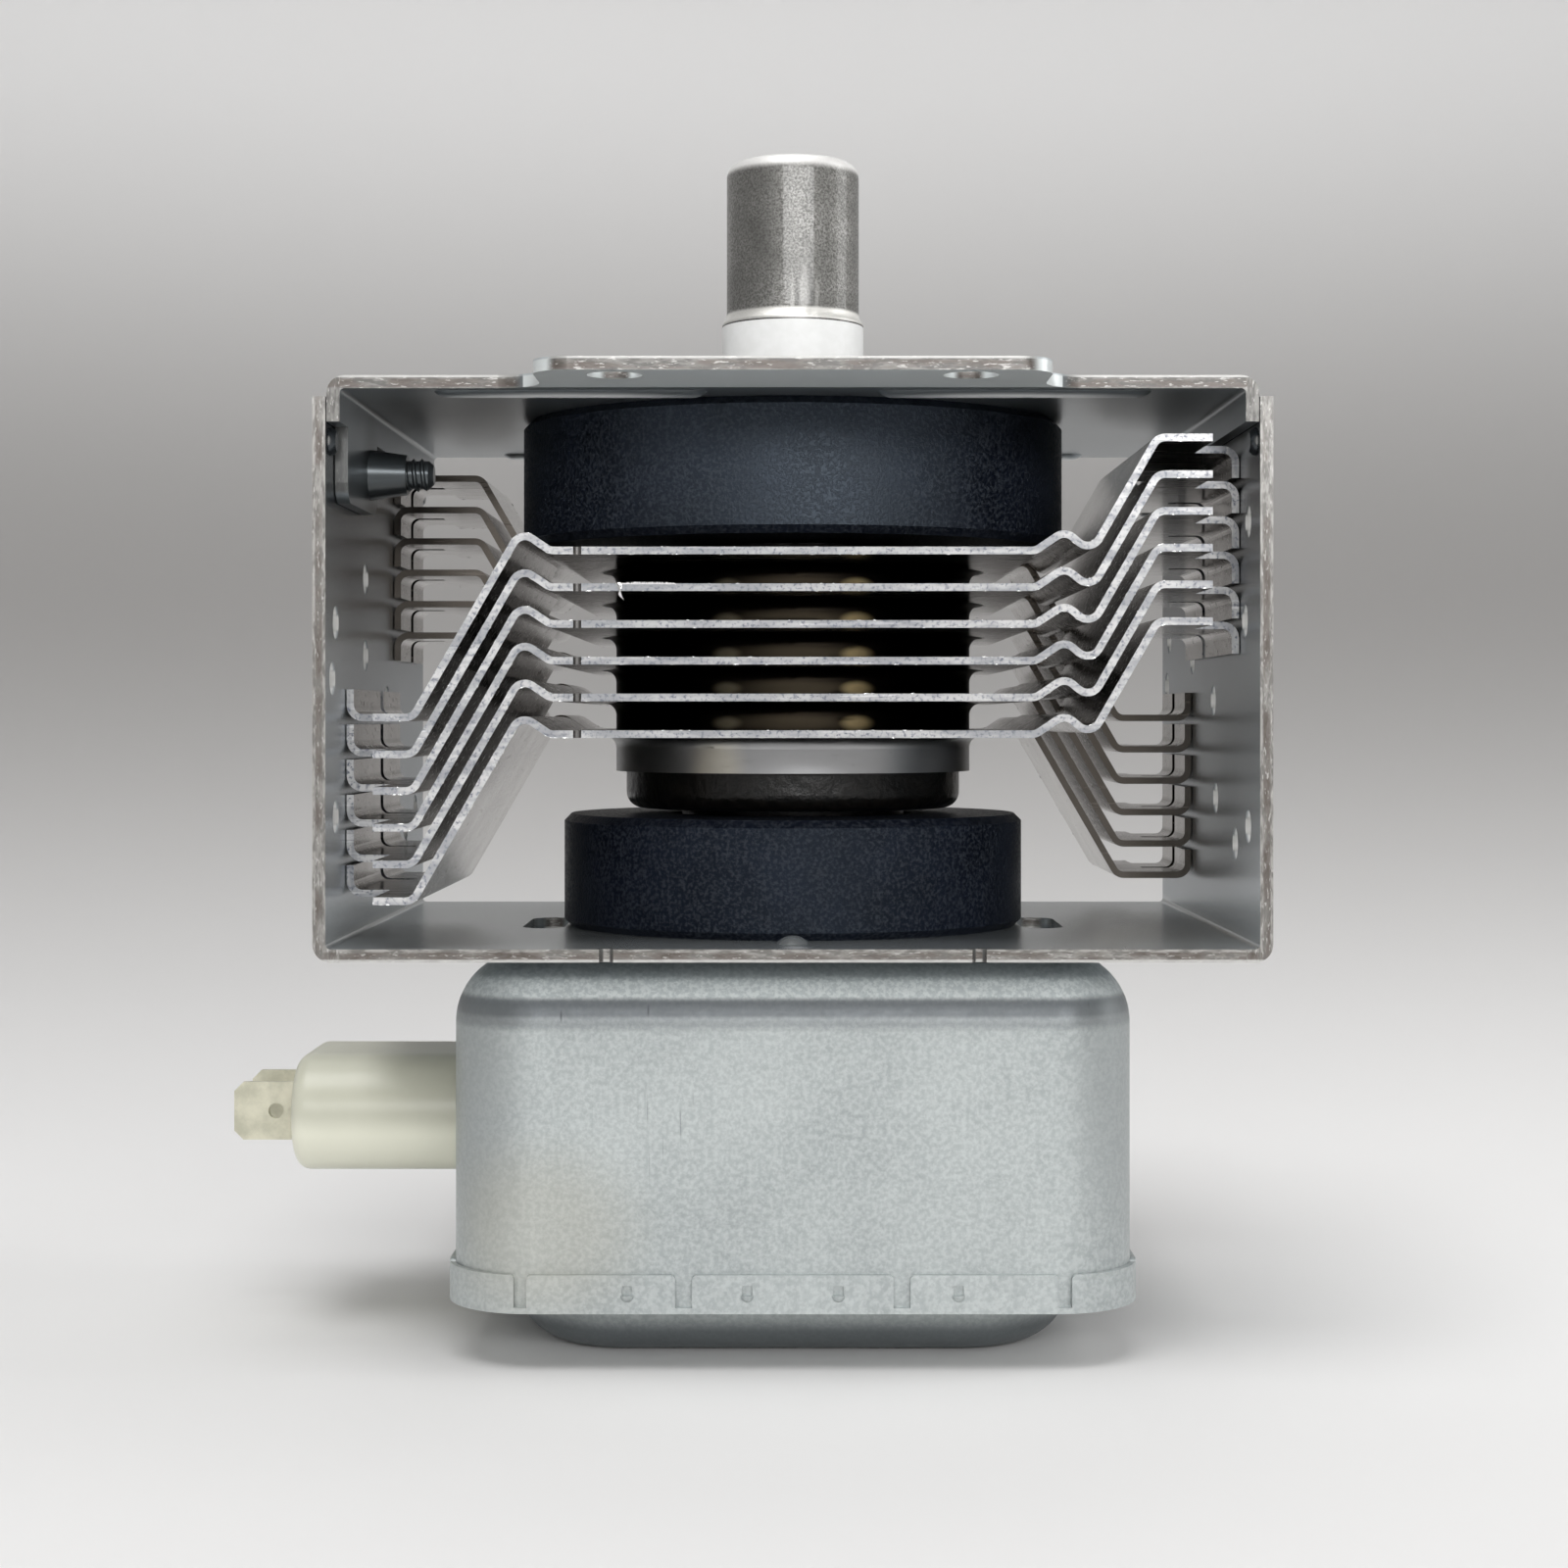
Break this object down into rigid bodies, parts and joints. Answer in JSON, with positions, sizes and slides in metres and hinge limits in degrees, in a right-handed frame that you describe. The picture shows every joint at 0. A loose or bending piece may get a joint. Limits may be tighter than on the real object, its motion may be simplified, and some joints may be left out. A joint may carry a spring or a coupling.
{
  "type": "magnetron",
  "caption": "Microwave-oven magnetron: finned tube between ring magnets in a folded steel yoke, with antenna, filter box and push-on terminals.",
  "frame": {"origin": "on the antenna axis, in the mounting face of the yoke plate, at the middle of the four mounting holes", "axes": "+Z along the antenna, away from the tube; +X away from the terminals; +Y along the cooling air, away from the picture's viewer"},
  "size_m": [0.1111, 0.098, 0.1281],
  "materials": {
    "zinc_steel": "zinc coated sheet, satin, lightly scuffed",
    "fin_aluminium": "bare rolled sheet",
    "ferrite": "matt sintered ferrite",
    "drawn_steel": "matt drawn steel",
    "alumina": "white sintered alumina",
    "black_lacquer": "glossy black lacquer on steel",
    "iron": "plain soft iron",
    "copper": "bare copper",
    "enamelled_copper": "enamelled copper wire",
    "cathode_metal": "tungsten and molybdenum, matt",
    "steel_mesh": "knitted wire mesh",
    "ivory_resin": "moulded resin, semi-matt",
    "tinned_steel": "tin plated"
  },
  "bodies": {
    "root": {"antenna_cap": "drawn_steel", "antenna_insulator": "alumina", "exhaust_tube": "copper", "antenna_rod": "copper", "rf_gasket": "steel_mesh", "upper_seal": "black_lacquer", "upper_pole_piece": "iron", "anode_cylinder": "copper", "anode_vanes": "copper", "strap_rings": "copper", "lower_pole_piece": "iron", "lower_seal": "black_lacquer", "upper_end_hat": "cathode_metal", "filament": "cathode_metal", "lower_end_hat": "cathode_metal", "centre_lead": "cathode_metal", "side_lead": "cathode_metal", "stem_insulator": "alumina", "upper_magnet": "ferrite", "lower_magnet": "ferrite", "yoke_plate": "zinc_steel", "yoke_frame": "zinc_steel", "fin_1": "fin_aluminium", "fin_2": "fin_aluminium", "fin_3": "fin_aluminium", "fin_4": "fin_aluminium", "fin_5": "fin_aluminium", "fin_6": "fin_aluminium", "yoke_screws": "zinc_steel", "filter_box": "zinc_steel", "filter_lid": "zinc_steel", "choke_coil_front": "enamelled_copper", "choke_coil_rear": "enamelled_copper", "choke_core_front": "ferrite", "choke_core_rear": "ferrite", "capacitor_block": "ivory_resin", "capacitor_plate": "tinned_steel", "terminal_front": "tinned_steel", "terminal_rear": "tinned_steel"}
  },
  "joints": []
}
